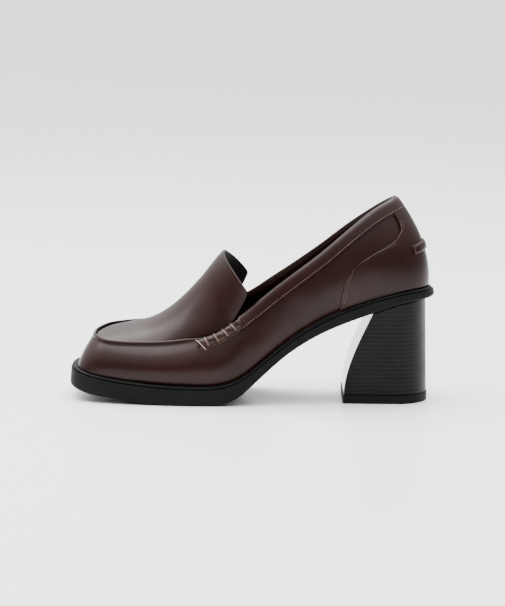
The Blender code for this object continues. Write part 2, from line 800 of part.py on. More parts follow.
def make_tip(material, root):
    """Heel tip, a little larger than the heel all round."""
    levels = ((0.0, TIP_PROUD - TIP_CHAMFER), (TIP_CHAMFER, TIP_PROUD), (TIP_THICKNESS, TIP_PROUD))
    sections = []
    for height, proud in levels:
        section = heel_section(0.0, proud)
        for point in section:
            point.z = height
        sections.append(section)
    return stacked_sections("heel_tip", sections, material, root)


def centre_on_floor(root, pieces):
    """Move the shoe so that the middle of its box stands over the origin."""
    corners = [vertex.co for piece in pieces for vertex in piece.data.vertices]
    middle_x = (min(corner.x for corner in corners) + max(corner.x for corner in corners)) / 2
    middle_y = (min(corner.y for corner in corners) + max(corner.y for corner in corners)) / 2
    lowest = min(corner.z for corner in corners)
    root.location = (-middle_x, -middle_y, -lowest)


def build():
    """Clear the scene and make the shoe."""
    for item in list(bpy.data.objects):
        bpy.data.objects.remove(item, do_unlink=True)
    root = bpy.data.objects.new("loafer", None)
    bpy.context.scene.collection.objects.link(root)
    leather = new_material("burgundy_leather", (0.045, 0.013, 0.012), 0.30, 0.35)
    seam = new_material("burgundy_seam", (0.055, 0.017, 0.015), 0.34, 0.25)
    rubber = new_material("black_rubber", (0.012, 0.012, 0.013), 0.42, 0.0)
    stack = new_material("black_stack", (0.014, 0.014, 0.015), 0.36, 0.0)
    lining = new_material("black_lining", (0.016, 0.014, 0.015), 0.62, 0.0)
    pieces = [
        make_outsole(rubber, root),
        make_welt(rubber, root),
        make_heel(stack, root),
        make_tip(rubber, root),
        make_insole(lining, root),
        make_upper(leather, root),
        make_apron(leather, root),
        make_collar_band(leather, root),
        make_counter(leather, root),
        make_tab(leather, root),
        make_roll("seam_roll_outer", -1, seam, root),
        make_roll("seam_roll_inner", 1, seam, root),
    ]
    centre_on_floor(root, pieces)


build()
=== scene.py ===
# %% [markdown]
# A loafer pump in burgundy box leather.
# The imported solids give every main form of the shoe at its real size: the hollow upper on its last, the
# apron that runs up into the tongue, the collar band, the counter, the sole and the heel. What they lack is
# what a hand would feel: rounded leather edges, stitches, the thong around the roll, the lining, grain and
# polish. Each step below takes one of these and builds it from the frame's own meshes, so it sits exactly
# where the maker's pieces are.

# %% Load the frame and keep its box
import math
from collections import namedtuple

import bmesh
import bpy
import numpy as np
from mathutils import Matrix, Vector
from mathutils.bvhtree import BVHTree


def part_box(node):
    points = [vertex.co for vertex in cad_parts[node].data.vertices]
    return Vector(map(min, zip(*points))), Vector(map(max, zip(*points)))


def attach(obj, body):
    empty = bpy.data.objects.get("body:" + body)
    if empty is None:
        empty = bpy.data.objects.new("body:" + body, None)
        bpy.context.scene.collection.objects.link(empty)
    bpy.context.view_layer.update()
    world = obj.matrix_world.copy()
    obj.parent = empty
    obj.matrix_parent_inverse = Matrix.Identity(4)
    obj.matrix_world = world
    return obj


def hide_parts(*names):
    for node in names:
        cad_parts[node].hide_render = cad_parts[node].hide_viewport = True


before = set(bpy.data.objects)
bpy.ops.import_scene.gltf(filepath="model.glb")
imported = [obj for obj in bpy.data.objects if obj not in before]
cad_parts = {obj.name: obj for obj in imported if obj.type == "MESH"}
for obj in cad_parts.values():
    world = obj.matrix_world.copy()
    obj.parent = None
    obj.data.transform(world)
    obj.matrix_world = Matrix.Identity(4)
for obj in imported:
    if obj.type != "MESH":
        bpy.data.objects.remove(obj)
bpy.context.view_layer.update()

BODY = "root"
TINY = 1e-9
print("pieces in the frame:", ", ".join(sorted(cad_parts)))

# %% [markdown]
# Leather, rubber and thread all have small variations: pores, a waxy mottle and lighter edges, which are
# partly a finish rubbed thin there and partly a painted highlight along each rounded edge. More than one
# material needs each of these, so each is a shader node group with named inputs. A group only hands out
# masks, colours and heights. The shader itself stays in the material, where the gloss is set on its own
# sockets.

# %% Helpers for node trees
def new_group(name, inputs, outputs):
    """Empty shader node group with named sockets; gives the tree, its input node and its output node."""
    tree = bpy.data.node_groups.new(name, "ShaderNodeTree")
    for label, kind, value in inputs:
        socket = tree.interface.new_socket(label, in_out="INPUT", socket_type=kind)
        socket.default_value = value
    for label, kind in outputs:
        tree.interface.new_socket(label, in_out="OUTPUT", socket_type=kind)
    return tree, tree.nodes.new("NodeGroupInput"), tree.nodes.new("NodeGroupOutput")


def feed(tree, socket, value):
    """Link another node's output to a socket, or else set the socket to a value."""
    if isinstance(value, bpy.types.NodeSocket):
        tree.links.new(value, socket)
    else:
        socket.default_value = value


def add_node(tree, kind, settings=(), **values):
    """Add a node, set its options and the sockets that are named with _ for a space."""
    node = tree.nodes.new(kind)
    for option, value in settings:
        setattr(node, option, value)
    for label, value in values.items():
        feed(tree, node.inputs[label.replace("_", " ")], value)
    return node


def math_node(tree, operation, *values):
    """Math node; each value is a number or another node's output."""
    node = tree.nodes.new("ShaderNodeMath")
    node.operation = operation
    for index, value in enumerate(values):
        feed(tree, node.inputs[index], value)
    return node.outputs["Value"]


def mix_colour(tree, share, first, second):
    """Colour between two others."""
    node = tree.nodes.new("ShaderNodeMix")
    node.data_type = "RGBA"
    for label, value in (("Factor", share), ("A", first), ("B", second)):
        kind = "VALUE" if label == "Factor" else "RGBA"
        socket = [item for item in node.inputs if item.name == label and item.type == kind][0]
        feed(tree, socket, value)
    return [item for item in node.outputs if item.type == "RGBA"][0]


def spread(tree, value, low, high, to_low=0.0, to_high=1.0):
    """Stretch a value from one range to another, held at both ends."""
    node = tree.nodes.new("ShaderNodeMapRange")
    tree.links.new(value, node.inputs["Value"])
    for label, limit in (("From Min", low), ("From Max", high), ("To Min", to_low), ("To Max", to_high)):
        feed(tree, node.inputs[label], limit)
    return node.outputs["Result"]


# %% Group: pores of smooth leather
FOLDS_PER_PORE = 0.22


def make_pore_group():
    """Fine pebbles and hairline pores, as a height for the bump."""
    tree, given, out = new_group(
        "leather_pores",
        [("Pores per metre", "NodeSocketFloat", 2600.0), ("Wrinkle share", "NodeSocketFloat", 0.35)],
        [("Height", "NodeSocketFloat")],
    )
    place = add_node(tree, "ShaderNodeTexCoord").outputs["Object"]
    cells = add_node(tree, "ShaderNodeTexVoronoi", [("feature", "SMOOTH_F1")], Vector=place,
                     Scale=given.outputs["Pores per metre"])
    coarse = math_node(tree, "MULTIPLY", given.outputs["Pores per metre"], FOLDS_PER_PORE)
    folds = add_node(tree, "ShaderNodeTexNoise", Vector=place, Scale=coarse, Detail=4.0, Distortion=0.6)
    wrinkles = math_node(tree, "MULTIPLY", folds.outputs["Fac"], given.outputs["Wrinkle share"])
    tree.links.new(math_node(tree, "ADD", cells.outputs["Distance"], wrinkles), out.inputs["Height"])
    return tree


# %% Group: waxy mottle
FLECKS_PER_PATCH = 9.0
PATCH_SHARE = 0.72
MOTTLE_LOW, MOTTLE_HIGH = 0.36, 0.64


def make_mottle_group():
    """Slow change of tone where the dye took and the wax was rubbed in."""
    tree, given, out = new_group(
        "waxy_mottle",
        [
            ("Deep", "NodeSocketColor", (0.02, 0.01, 0.01, 1)),
            ("Light", "NodeSocketColor", (0.05, 0.02, 0.02, 1)),
            ("Patches per metre", "NodeSocketFloat", 26.0),
        ],
        [("Colour", "NodeSocketColor"), ("Mask", "NodeSocketFloat")],
    )
    place = add_node(tree, "ShaderNodeTexCoord").outputs["Object"]
    patches = add_node(tree, "ShaderNodeTexNoise", Vector=place, Scale=given.outputs["Patches per metre"],
                       Detail=3.0, Roughness=0.55, Distortion=0.4)
    finer = math_node(tree, "MULTIPLY", given.outputs["Patches per metre"], FLECKS_PER_PATCH)
    flecks = add_node(tree, "ShaderNodeTexNoise", Vector=place, Scale=finer, Detail=5.0, Roughness=0.6)
    slow = math_node(tree, "MULTIPLY", patches.outputs["Fac"], PATCH_SHARE)
    quick = math_node(tree, "MULTIPLY", flecks.outputs["Fac"], 1 - PATCH_SHARE)
    mask = spread(tree, math_node(tree, "ADD", slow, quick), MOTTLE_LOW, MOTTLE_HIGH)
    colour = mix_colour(tree, mask, given.outputs["Deep"], given.outputs["Light"])
    tree.links.new(colour, out.inputs["Colour"])
    tree.links.new(mask, out.inputs["Mask"])
    return tree


# %% Group: lighter edges, part wear and part painted highlight
def make_edge_wear_and_highlight_group():
    """Mask that is bright on outward edges, where the finish is rubbed thin and where it paints in the
    edge's highlight.
    """
    tree, given, out = new_group(
        "edge_wear_and_painted_highlight",
        [("Start", "NodeSocketFloat", 0.52), ("End", "NodeSocketFloat", 0.60)],
        [("Mask", "NodeSocketFloat")],
    )
    bend = add_node(tree, "ShaderNodeNewGeometry").outputs["Pointiness"]
    mask = spread(tree, bend, given.outputs["Start"], given.outputs["End"])
    tree.links.new(mask, out.inputs["Mask"])
    return tree


pores = make_pore_group()
mottle = make_mottle_group()
wear_and_highlight_edges = make_edge_wear_and_highlight_group()
print("node groups:", [group.name for group in (pores, mottle, wear_and_highlight_edges)])

# %% [markdown]
# The finishes of this shoe. Box leather is dyed through, waxed and brushed: a dark red-brown with a thin
# clear coat that mirrors the large lamp softly. It serves for upper, band, counter and tab. Lining, sole,
# heel stack and thread each get their own recipe from the same three groups.

# %% Make the finishes
# deep, light and worn are linear colours, pores and patches are counts per metre, depth is the bump's. The
# worn colour lightens outward edges: partly wear, partly a painted edge highlight.
Finish = namedtuple("Finish", "deep light worn rough rough_range pores depth shine coat coat_rough patches")
# Share of the lighter edge colour, which is partly wear and partly a painted highlight.
EDGE_WEAR_AND_HIGHLIGHT_SHARE = 0.55
GRAIN_STRENGTH = 0.6
BOX_LEATHER = Finish((0.0092, 0.0022, 0.0015), (0.0155, 0.0042, 0.0029), (0.046, 0.021, 0.016),
                     0.32, 0.08, 2600.0, 0.00001, 0.15, 0.04, 0.16, 26.0)
STRIP_LEATHER = Finish((0.0050, 0.0018, 0.0010), (0.0280, 0.0100, 0.0042), (0.060, 0.028, 0.018),
                       0.30, 0.10, 1800.0, 0.00001, 0.18, 0.05, 0.12, 200.0)
THONG_LEATHER = Finish((0.060, 0.034, 0.026), (0.110, 0.068, 0.054), (0.24, 0.17, 0.14),
                       0.34, 0.10, 2200.0, 0.00002, 0.30, 0.10, 0.12, 200.0)
LINING_LEATHER = Finish((0.0042, 0.0026, 0.0022), (0.0070, 0.0046, 0.0038), (0.013, 0.010, 0.009),
                        0.55, 0.10, 1900.0, 0.00004, 0.20, 0.0, 0.3, 40.0)
SOCK_LEATHER = Finish((0.0052, 0.0042, 0.0040), (0.0088, 0.0074, 0.0070), (0.014, 0.013, 0.013),
                      0.52, 0.12, 1500.0, 0.00006, 0.25, 0.0, 0.3, 34.0)
SOLE_RUBBER = Finish((0.0026, 0.0028, 0.0031), (0.0042, 0.0044, 0.0048), (0.012, 0.013, 0.014),
                     0.60, 0.10, 1400.0, 0.00003, 0.10, 0.0, 0.3, 60.0)
PALE_THREAD = Finish((0.30, 0.23, 0.20), (0.44, 0.36, 0.31), (0.54, 0.46, 0.40),
                     0.55, 0.10, 5200.0, 0.00003, 0.40, 0.0, 0.3, 300.0)
BROWN_THREAD = Finish((0.075, 0.043, 0.036), (0.120, 0.074, 0.062), (0.16, 0.11, 0.10),
                      0.50, 0.10, 5200.0, 0.00003, 0.30, 0.0, 0.3, 300.0)
# Near-black: the moccasin seam's thread, which also paints the shade in the groove at the seam's foot, and
# the painted shade inside pinholes and tie holes.
DARK_THREAD_AND_PAINTED_SHADE = Finish((0.0040, 0.0020, 0.0016), (0.0070, 0.0036, 0.0030), (0.012, 0.007, 0.006),
                     0.60, 0.10, 5200.0, 0.00003, 0.20, 0.0, 0.3, 300.0)


def make_finish(name, recipe):
    """Material from a recipe: mottle for the tone, lighter edges over it (part wear, part painted
    highlight), pores in the bump.
    """
    material = bpy.data.materials.new(name)
    material.use_nodes = True
    tree = material.node_tree
    shader = tree.nodes["Principled BSDF"]
    tone = add_node(tree, "ShaderNodeGroup", [("node_tree", mottle)], Deep=(*recipe.deep, 1),
                    Light=(*recipe.light, 1), Patches_per_metre=recipe.patches)
    edges = add_node(tree, "ShaderNodeGroup", [("node_tree", wear_and_highlight_edges)])
    # Lighter colour on outward edges: partly wear, partly a painted highlight.
    worn = math_node(tree, "MULTIPLY", edges.outputs["Mask"], EDGE_WEAR_AND_HIGHLIGHT_SHARE)
    colour = mix_colour(tree, worn, tone.outputs["Colour"], (*recipe.worn, 1))
    tree.links.new(colour, shader.inputs["Base Color"])
    half = recipe.rough_range / 2
    gloss = spread(tree, tone.outputs["Mask"], 0.0, 1.0, recipe.rough + half, recipe.rough - half)
    tree.links.new(gloss, shader.inputs["Roughness"])
    grain = add_node(tree, "ShaderNodeGroup", [("node_tree", pores)], Pores_per_metre=recipe.pores)
    bump = add_node(tree, "ShaderNodeBump", Strength=GRAIN_STRENGTH, Distance=recipe.depth,
                    Height=grain.outputs["Height"])
    tree.links.new(bump.outputs["Normal"], shader.inputs["Normal"])
    shader.inputs["Specular IOR Level"].default_value = recipe.shine
    shader.inputs["Coat Weight"].default_value = recipe.coat
    shader.inputs["Coat Roughness"].default_value = recipe.coat_rough
    return material


leather = make_finish("burgundy_box_leather", BOX_LEATHER)
strip_leather = make_finish("burgundy_strip_leather", STRIP_LEATHER)
thong = make_finish("brown_thong_leather", THONG_LEATHER)
lining = make_finish("black_lining_leather", LINING_LEATHER)
sock = make_finish("black_sock_leather", SOCK_LEATHER)
rubber = make_finish("black_sole_rubber", SOLE_RUBBER)
pale_thread = make_finish("pale_thread", PALE_THREAD)
brown_thread = make_finish("brown_thread", BROWN_THREAD)
dark_thread_and_painted_shade = make_finish("dark_thread_and_painted_shade", DARK_THREAD_AND_PAINTED_SHADE)
print("finishes:", sorted(item.name for item in bpy.data.materials if item.use_nodes))

# %% [markdown]
# The solids come in as triangles with hard corners. A leather edge is cut and then rounded with a hot
# iron, and a moulded edge has a small radius. So each piece is made from its own solid: corners welded,
# triangles joined back to four-sided faces, sharp edges bevelled to their real radius and the rest smoothed
# by a subdivision surface. The bevel's loops hold the edge in place while the subdivision rounds the form.

# %% Weld a solid and round its edges
WELD = 2e-6
PAIR_TURN, PAIR_SKEW = math.radians(35), math.radians(60)
SUBDIVISION = 2


def welded(node):
    """Mesh of a CAD node with its corners joined and its triangles paired."""
    shape = bmesh.new()
    shape.from_mesh(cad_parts[node].data)
    bmesh.ops.remove_doubles(shape, verts=shape.verts, dist=WELD)
    bmesh.ops.join_triangles(shape, faces=shape.faces, angle_face_threshold=PAIR_TURN,
                             angle_shape_threshold=PAIR_SKEW)
    for item in (shape.verts, shape.edges, shape.faces):
        item.index_update()
        item.ensure_lookup_table()
    shape.normal_update()
    return shape


def round_edges(shape, radius, limit):
    """Bevel every edge that turns by more than a limit in degrees."""
    sharp = [edge for edge in shape.edges if edge.calc_face_angle(0.0) > math.radians(limit)]
    bmesh.ops.bevel(shape, geom=sharp, offset=radius, offset_type="OFFSET", segments=2, profile=0.5,
                    affect="EDGES", clamp_overlap=True)


def smoothed(shape):
    """Mesh of a shape after a subdivision surface."""
    rough = bpy.data.meshes.new("rough")
    shape.to_mesh(rough)
    shape.free()
    holder = bpy.data.objects.new("holder", rough)
    bpy.context.scene.collection.objects.link(holder)
    surface = holder.modifiers.new("surface", "SUBSURF")
    surface.levels = SUBDIVISION
    view = bpy.context.evaluated_depsgraph_get()
    mesh = bpy.data.meshes.new_from_object(holder.evaluated_get(view))
    bpy.data.objects.remove(holder)
    bpy.data.meshes.remove(rough)
    return mesh


def place(mesh, name, finishes, slot, node=None):
    """Shoe piece from a mesh: it rides on the shoe and may stand for a CAD node."""
    mesh.name = name
    mesh.materials.clear()
    for finish in finishes:
        mesh.materials.append(finish)
    mesh.shade_smooth()
    piece = bpy.data.objects.new(name, mesh)
    bpy.context.scene.collection.objects.link(piece)
    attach(piece, BODY)
    if node:
        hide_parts(node)
    print(f"{name}: {len(mesh.polygons)} faces")
    return piece


def skin(node, name, finishes, slot, radius, limit=50):
    """Smooth piece with rounded edges in the place of a CAD node."""
    shape = welded(node)
    round_edges(shape, radius, limit)
    return place(smoothed(shape), name, finishes, slot, node)


def tree_of(piece):
    """Search tree over a piece, to lay other pieces on it."""
    mesh = piece.data
    return BVHTree.FromPolygons([vertex.co for vertex in mesh.vertices],
                                [polygon.vertices for polygon in mesh.polygons])


def finish_faces(piece, test):
    """Give the second finish to the faces that pass a test."""
    chosen = [polygon for polygon in piece.data.polygons if test(polygon)]
    for polygon in chosen:
        polygon.material_index = 1
    print(f"{piece.name}: {len(chosen)} faces in the second finish")


# %% [markdown]
# The upper is one wall, leather outside and lining inside. Which side a face is on is read from its
# normal: it points away from the middle line of the shoe or towards it. Worn leather is never quite taut,
# so soft troughs and ridges are pressed in: where the ball bends the vamp, beside the roll, and in
# the quarter under the band. Each is a line on the shoe with a width and a depth. The counter and the tab
# are glued flat, so they are sunk onto the wall, and the tab's sewn ends a little further.

# %% Creases placed one by one
MIDDLE_FRONT, MIDDLE_BACK = -0.092, 0.075
Crease = namedtuple("Crease", "start end width depth")
CREASES = [
    Crease((-0.020, 0.045, 0.040), (-0.034, 0.044, 0.024), 0.0070, 0.00045),
    Crease((-0.008, 0.042, 0.044), (-0.020, 0.045, 0.026), 0.0065, -0.00035),
    Crease((0.004, 0.038, 0.046), (-0.006, 0.042, 0.030), 0.0070, 0.00050),
    Crease((0.030, 0.034, 0.066), (0.012, 0.038, 0.052), 0.0080, 0.00050),
    Crease((0.058, 0.031, 0.086), (0.040, 0.034, 0.070), 0.0090, -0.00035),
    Crease((0.080, 0.029, 0.104), (0.062, 0.031, 0.088), 0.0080, 0.00040),
    Crease((-0.050, 0.028, 0.040), (-0.026, 0.030, 0.045), 0.0042, -0.00045),
    Crease((-0.052, 0.024, 0.041), (-0.024, 0.027, 0.048), 0.0034, 0.00040),
    Crease((-0.012, 0.026, 0.062), (-0.028, 0.022, 0.053), 0.0085, 0.00060),
    Crease((-0.078, 0.022, 0.040), (-0.034, 0.026, 0.049), 0.0080, -0.00080),
]


def away(point):
    """Level direction from the shoe's middle line to a point."""
    level = Vector((point.x - min(MIDDLE_BACK, max(MIDDLE_FRONT, point.x)), point.y, 0.0))
    return level.normalized()


def read_vertices(mesh):
    """Places of a mesh's vertices, one row each."""
    values = np.empty(len(mesh.vertices) * 3, np.float32)
    mesh.vertices.foreach_get("co", values)
    return values.reshape(-1, 3).astype(float)


def write_vertices(mesh, points):
    """Move a mesh's vertices to new places."""
    mesh.vertices.foreach_set("co", points.astype(np.float32).ravel())
    mesh.update()


def all_away(points):
    """Level directions from the shoe's middle line to many points, one row each."""
    out = points * (0, 1, 0)
    out[:, 0] = points[:, 0] - np.clip(points[:, 0], MIDDLE_FRONT, MIDDLE_BACK)
    return out / np.maximum(np.linalg.norm(out, axis=1), TINY)[:, None]


def press(mesh, creases, upright=False):
    """Push the wall in along each crease, on both sides: level, or downwards for what lies on top."""
    points = read_vertices(mesh)
    folded = points * (1, 0, 1) + np.abs(points) * (0, 1, 0)
    push = np.zeros(len(points))
    for crease in creases:
        start, line = np.array(crease.start), np.subtract(crease.end, crease.start)
        share = np.clip((folded - start) @ line / (line @ line), 0, 1)
        gap = np.linalg.norm(folded - start - share[:, None] * line, axis=1) / crease.width
        push += crease.depth * np.exp(-gap * gap)
    if upright:
        out = np.array((0.0, 0.0, 1.0))
    else:
        out = all_away(points)
    write_vertices(mesh, points - out * push[:, None])


# %% Upper
LOOKS_INWARDS = -0.25
RIM_LOOKS_UP = 0.55


def make_upper():
    """Vamp and quarters, with the lining on the inside of the wall."""
    piece = skin("upper", "upper_wall", [leather, lining], "upper_leather", radius=0.0004, limit=75)
    press(piece.data, CREASES)

    def lined(face):
        return face.normal.dot(away(face.center)) < LOOKS_INWARDS and face.normal.z < RIM_LOOKS_UP

    finish_faces(piece, lined)
    return piece


upper = make_upper()
upper_tree = tree_of(upper)

# %% Apron and tongue
APRON_ARCH = 0.020
LOOKS_UNDER = -0.2


def make_apron():
    """Apron and tongue in one piece, lined underneath."""
    piece = skin("apron_tongue", "apron_and_tongue", [leather, lining], "upper_leather", radius=0.00035)
    press(piece.data, CREASES, upright=True)

    def lined(face):
        outwards = Vector((0.0, face.center.y, APRON_ARCH)).normalized()
        return face.normal.dot(outwards) < LOOKS_UNDER

    finish_faces(piece, lined)


make_apron()

# %% Collar band, counter and heel tab
COUNTER_SINK = 0.00022
TAB_SINK = 0.00030
TAB_END_SINK = 0.00080
TAB_END_LENGTH = 0.0045

band = skin("collar_band", "collar_binding", [leather], "upper_leather", radius=0.00022)
counter = skin("counter", "heel_counter", [leather], "upper_leather", radius=0.00025)
tab = skin("heel_tab", "back_tab", [leather], "upper_leather", radius=0.0003)
for overlay in (band, counter, tab):
    press(overlay.data, CREASES)


def sink(mesh, depth):
    """Move vertices towards the shoe's middle line; the depth is one number or one for each vertex."""
    points = read_vertices(mesh)
    write_vertices(mesh, points - all_away(points) * np.reshape(depth, (-1, 1)))


def flatten_tab():
    """Bring the tab's ends down onto the counter, where they are sewn."""
    aside = np.abs(read_vertices(tab.data)[:, 1])
    to_end = np.clip(1 - (aside.max() - aside) / TAB_END_LENGTH, 0, 1)
    sink(tab.data, TAB_SINK + TAB_END_SINK * to_end**2 * (3 - 2 * to_end))


sink(counter.data, COUNTER_SINK)
flatten_tab()

# %% [markdown]
# The sole is moulded rubber with a fine satin skin; underneath it has shallow cross ribs for grip. The heel
# is a block covered to look like stacked leather: thin level lines every few millimetres, a little uneven.
# Its front face, the breast, is lacquered smooth. Lines and ribs are far below a millimetre, so they are
# made in the bump, while the rounded edges are real faces.

# %% Sole and heel finishes
LIFT_PITCH = 0.0028
RIB_PITCH = 0.0032
DRIFTS_PER_METRE = 22.0
GRAIN_LEFT = 0.25
GROOVE_TONE = (0.030, 0.031, 0.033, 1)
GROOVE_TONE_SHARE = 0.55
LOOKS_DOWN = -0.93
LOOKS_FORWARD = -0.75


def add_lines(material, axis, pitch, sharpness, depth, wobble):
    """Cut thin parallel lines into a finish: into its height and, a little, its tone."""
    tree = material.node_tree
    shader = tree.nodes["Principled BSDF"]
    bump = [node for node in tree.nodes if node.type == "BUMP"][0]
    place = add_node(tree, "ShaderNodeTexCoord").outputs["Object"]
    drift = add_node(tree, "ShaderNodeTexNoise", Vector=place, Scale=DRIFTS_PER_METRE, Detail=2.0)
    along = add_node(tree, "ShaderNodeSeparateXYZ", Vector=place).outputs[axis]
    bent = math_node(tree, "ADD", along, math_node(tree, "MULTIPLY", drift.outputs["Fac"], wobble))
    turn = math_node(tree, "FRACT", math_node(tree, "DIVIDE", bent, pitch))
    from_middle = math_node(tree, "ABSOLUTE", math_node(tree, "SUBTRACT", turn, 0.5))
    mask = spread(tree, math_node(tree, "POWER", from_middle, sharpness), 0.0, 0.5**sharpness)
    height = bump.inputs["Height"].links[0].from_socket
    grooved = math_node(tree, "SUBTRACT", math_node(tree, "MULTIPLY", height, GRAIN_LEFT), mask)
    tree.links.new(grooved, bump.inputs["Height"])
    bump.inputs["Distance"].default_value = depth
    tone = shader.inputs["Base Color"].links[0].from_socket
    strength = math_node(tree, "MULTIPLY", mask, GROOVE_TONE_SHARE)
    tree.links.new(mix_colour(tree, strength, tone, GROOVE_TONE), shader.inputs["Base Color"])


STACK = SOLE_RUBBER._replace(rough=0.42, rough_range=0.10, pores=900.0)
stack = make_finish("black_heel_stack", STACK)
add_lines(stack, "Z", LIFT_PITCH, sharpness=14.0, depth=0.00009, wobble=0.0010)
LACQUER = SOLE_RUBBER._replace(rough=0.22, rough_range=0.03, depth=0.00001, shine=0.5, coat=0.7,
                               coat_rough=0.10)
lacquer = make_finish("black_breast_lacquer", LACQUER)
tread = make_finish("black_tread", SOLE_RUBBER)
add_lines(tread, "X", RIB_PITCH, sharpness=3.0, depth=0.00015, wobble=0.0)

# %% Sole, welt, heel and insole
outsole = skin("outsole", "moulded_outsole", [rubber, tread], "sole_rubber", radius=0.0004, limit=40)
finish_faces(outsole, lambda face: face.normal.z < LOOKS_DOWN)
welt = skin("welt", "welt_strip", [rubber], "sole_rubber", radius=0.0003, limit=60)
heel = skin("heel", "block_heel", [stack, lacquer], "heel_stack", radius=0.0005, limit=40)
finish_faces(heel, lambda face: face.normal.x < LOOKS_FORWARD)
tip = skin("heel_tip", "walking_tip", [rubber, tread], "sole_rubber", radius=0.0003, limit=40)
finish_faces(tip, lambda face: face.normal.z < LOOKS_DOWN)
skin("insole", "insole_sock", [sock], "lining", radius=0.0004, limit=40)

# %% [markdown]
# A row of stitches follows the edge of the leather it holds, a millimetre or so in. So the rows are not
# drawn: each solid's border is walked corner by corner, every corner keeps the way into its face, and the
# row is laid that far in, square to the border, on top of the finished surface. The band's border is its
# sharp lower edge. The counter and the tab lie on the wall, so theirs is where the faces that stand off the
# wall meet the others. Every stitch is a short bent thread whose ends dive into two pinholes; a near-black
# stub in each pinhole paints the shade inside the hole.

# %% Walk along a piece's edges
Rim = namedtuple("Rim", "point normal inward")
SHARP_TURN = math.radians(50)
DROP_FROM, DROP_LENGTH = 0.003, 0.008


def sharp_edge(edge):
    """Whether an edge is a real corner of the piece."""
    return len(edge.link_faces) == 2 and edge.calc_face_angle() > SHARP_TURN


def runs_along(shape, wanted):
    """Runs of places along the wanted edges: where, the wide face's normal, and the way into that face."""
    links, facts = {}, {}
    for edge in shape.edges:
        if not wanted(edge):
            continue
        wide = max(edge.link_faces, key=lambda face: face.calc_area())
        first, last = edge.verts
        fact = (wide.normal.copy(), wide.calc_center_median() - (first.co + last.co) / 2)
        for corner, other in ((first, last), (last, first)):
            links.setdefault(corner.index, []).append(other.index)
            facts.setdefault(corner.index, []).append(fact)
    runs, seen = [], set()
    for start in sorted(links, key=lambda corner: (len(links[corner]), corner)):
        if start in seen:
            continue
        run, here = [start], start
        seen.add(start)
        ahead = sorted(set(links[here]) - seen)
        while ahead:
            here = ahead[0]
            seen.add(here)
            run.append(here)
            ahead = sorted(set(links[here]) - seen)
        runs.append([rim_at(shape, index, facts[index]) for index in run])
    return sorted(runs, key=len, reverse=True)


def rim_at(shape, index, facts):
    """One place on a border, from the faces that meet there."""
    normal = sum((fact[0] for fact in facts), Vector()).normalized()
    inward = sum((fact[1].normalized() for fact in facts), Vector())
    inward = (inward - normal * inward.dot(normal)).normalized()
    return Rim(shape.verts[index].co.copy(), normal, inward)


def long_sides(run):
    """Upper and lower half of a closed run seen from the side, each from its toe end to its rear end."""
    front = min(range(len(run)), key=lambda index: run[index].point.x)
    turned = run[front:] + run[:front]
    back = max(range(len(turned)), key=lambda index: turned[index].point.x)
    halves = [turned[:back + 1], (turned[back:] + turned[:1])[::-1]]
    return sorted([without_ends(half) for half in halves],
                  key=lambda half: -sum(rim.point.z for rim in half) / len(half))


def without_ends(half):
    """Half run without the steep places that belong to the piece's short ends."""
    def steep(first, second):
        step = second.point - first.point
        return abs(step.z) > abs(step.x)

    while len(half) > 2 and steep(half[0], half[1]):
        half = half[1:]
    while len(half) > 2 and steep(half[-2], half[-1]):
        half = half[:-1]
    return half


def parts_that(run, test):
    """The longest unbroken parts of a closed run whose places all pass a test."""
    first = [test(rim) for rim in run].index(False)
    turned = run[first:] + run[:first]
    parts = [[]]
    for rim in turned:
        if test(rim):
            parts[-1].append(rim)
        elif parts[-1]:
            parts.append([])
    return sorted((part for part in parts if len(part) > 1), key=len, reverse=True)


def evenly(run, spacing):
    """Places at equal distances along a run."""
    lengths = [0.0]
    for before, after in zip(run, run[1:]):
        lengths.append(lengths[-1] + (after.point - before.point).length)
    count = max(1, round(lengths[-1] / spacing))
    result, index = [], 0
    for number in range(count + 1):
        goal = lengths[-1] * number / count
        while index < len(lengths) - 2 and lengths[index + 1] < goal:
            index += 1
        share = (goal - lengths[index]) / max(lengths[index + 1] - lengths[index], TINY)
        before, after = run[index], run[index + 1]
        result.append(Rim(*[start.lerp(end, share) for start, end in zip(before, after)]))
    return result


def laid(run, tree, inset):
    """The same run moved into its face by an inset and dropped onto a finished surface."""
    result = []
    for index, rim in enumerate(run):
        ahead = run[min(index + 1, len(run) - 1)].point - run[max(index - 1, 0)].point
        across = ahead.cross(rim.normal).normalized()
        across = across if across.dot(rim.inward) > 0 else -across
        above = rim.point + across * inset + rim.normal * DROP_FROM
        spot, normal, _, _ = tree.ray_cast(above, -rim.normal, DROP_LENGTH)
        if spot is None:
            spot, normal, _, _ = tree.find_nearest(above)
        result.append(Rim(spot, normal if normal.dot(rim.normal) > 0 else -normal, rim.inward))
    return result


# %% Thread and tubes
def tube(points, path, ups, widths, heights, sides=8):
    """Add an oval tube along a path to a list of points; gives its faces."""
    start, faces = len(points), []
    for index, centre in enumerate(path):
        along = (path[min(index + 1, len(path) - 1)] - path[max(index - 1, 0)]).normalized()
        side = along.cross(ups[index]).normalized()
        up = side.cross(along)
        for part in range(sides):
            angle = 2 * math.pi * part / sides
            aside = centre + side * widths[index] * math.cos(angle)
            points.append(aside + up * heights[index] * math.sin(angle))
    for row in range(len(path) - 1):
        for part in range(sides):
            beside = (part + 1) % sides
            low, high = start + row * sides, start + (row + 1) * sides
            faces.append((low + part, low + beside, high + beside, high + part))
    faces.append(tuple(start + part for part in reversed(range(sides))))
    faces.append(tuple(start + (len(path) - 1) * sides + part for part in range(sides)))
    return faces


def joined(name, points, faces, finishes, slot):
    """One piece from a list of points and faces."""
    mesh = bpy.data.meshes.new(name)
    mesh.from_pydata(points, [], faces)
    mesh.update()
    return place(mesh, name, finishes, slot)


